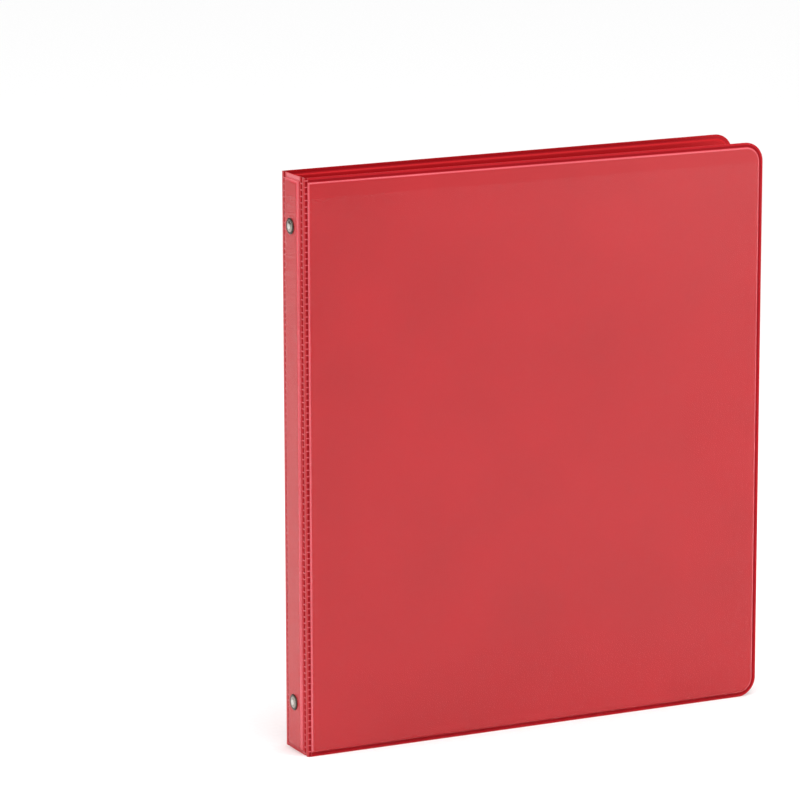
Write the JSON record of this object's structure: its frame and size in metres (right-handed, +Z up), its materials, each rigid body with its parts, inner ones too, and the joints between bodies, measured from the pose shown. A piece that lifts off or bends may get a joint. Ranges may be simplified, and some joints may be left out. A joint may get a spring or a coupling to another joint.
{
  "type": "ring binder",
  "caption": "Slim vinyl view binder with clear overlay pockets, padded-board covers on welded hinges and a spine-mounted ring mechanism with opening levers.",
  "frame": {"origin": "centre of the bounding box's bottom face, on the surface the binder stands on", "axes": "+Z up along the spine, +Y towards the back cover with the front cover facing -Y, +X from the spine to the fore edge"},
  "size_m": [0.2596, 0.0338, 0.2921],
  "materials": {
    "outer_vinyl": "semi-gloss calendered vinyl sheet",
    "inner_vinyl": "fine-grained calendered vinyl sheet",
    "clear_film": "clear, slightly cloudy soft film",
    "board": "matt grey-brown chipboard",
    "plated_sheet_steel": "bright nickel plate",
    "plated_steel_bar": "bright nickel plate"
  },
  "bodies": {
    "spine": {"spine_board": "board", "spine_outer_vinyl": "outer_vinyl", "spine_inner_vinyl": "inner_vinyl", "spine_clear_overlay": "clear_film", "ring_housing": "plated_sheet_steel", "upper_rivet": "plated_steel_bar", "lower_rivet": "plated_steel_bar", "upper_lever_pin": "plated_steel_bar", "lower_lever_pin": "plated_steel_bar"},
    "front_cover": {"front_cover_board": "board", "front_cover_outer_vinyl": "outer_vinyl", "front_cover_inner_vinyl": "inner_vinyl", "front_cover_clear_overlay": "clear_film", "front_cover_inner_pocket": "inner_vinyl"},
    "back_cover": {"back_cover_board": "board", "back_cover_outer_vinyl": "outer_vinyl", "back_cover_inner_vinyl": "inner_vinyl", "back_cover_clear_overlay": "clear_film", "back_cover_inner_pocket": "inner_vinyl"},
    "front_rings": {"front_ring_blade": "plated_sheet_steel", "upper_front_half_ring": "plated_steel_bar", "middle_front_half_ring": "plated_steel_bar", "lower_front_half_ring": "plated_steel_bar"},
    "back_rings": {"back_ring_blade": "plated_sheet_steel", "upper_back_half_ring": "plated_steel_bar", "middle_back_half_ring": "plated_steel_bar", "lower_back_half_ring": "plated_steel_bar"},
    "upper_lever": {"upper_lever": "plated_steel_bar"},
    "lower_lever": {"lower_lever": "plated_steel_bar"}
  },
  "joints": [
    {"name": "front_cover_hinge", "type": "hinge", "parent": "spine", "child": "front_cover", "pos_m": [-0.12617, -0.0127, 0], "axis": [0, 0, -1], "range_deg": [-2.5, 175]},
    {"name": "back_cover_hinge", "type": "hinge", "parent": "spine", "child": "back_cover", "pos_m": [-0.12617, 0.0127, 0], "axis": [0, 0, 1], "range_deg": [-2.5, 175]},
    {"name": "front_ring_pivot", "type": "hinge", "parent": "spine", "child": "front_rings", "pos_m": [-0.12332, -0.007, 0], "axis": [0, 0, -1], "range_deg": [0, 18]},
    {"name": "back_ring_pivot", "type": "hinge", "parent": "spine", "child": "back_rings", "pos_m": [-0.12332, 0.007, 0], "axis": [0, 0, 1], "range_deg": [0, 18]},
    {"name": "upper_lever_pivot", "type": "hinge", "parent": "spine", "child": "upper_lever", "pos_m": [-0.12312, 0, 0.27365], "axis": [0, -1, 0], "range_deg": [0, 32.4]},
    {"name": "lower_lever_pivot", "type": "hinge", "parent": "spine", "child": "lower_lever", "pos_m": [-0.12312, 0, 0.01845], "axis": [0, 1, 0], "range_deg": [0, 32.4]}
  ],
  "couplings": [
    {"joint": "back_ring_pivot", "follows": "front_ring_pivot", "ratio": 1},
    {"joint": "upper_lever_pivot", "follows": "front_ring_pivot", "ratio": 1.8},
    {"joint": "lower_lever_pivot", "follows": "front_ring_pivot", "ratio": 1.8}
  ]
}
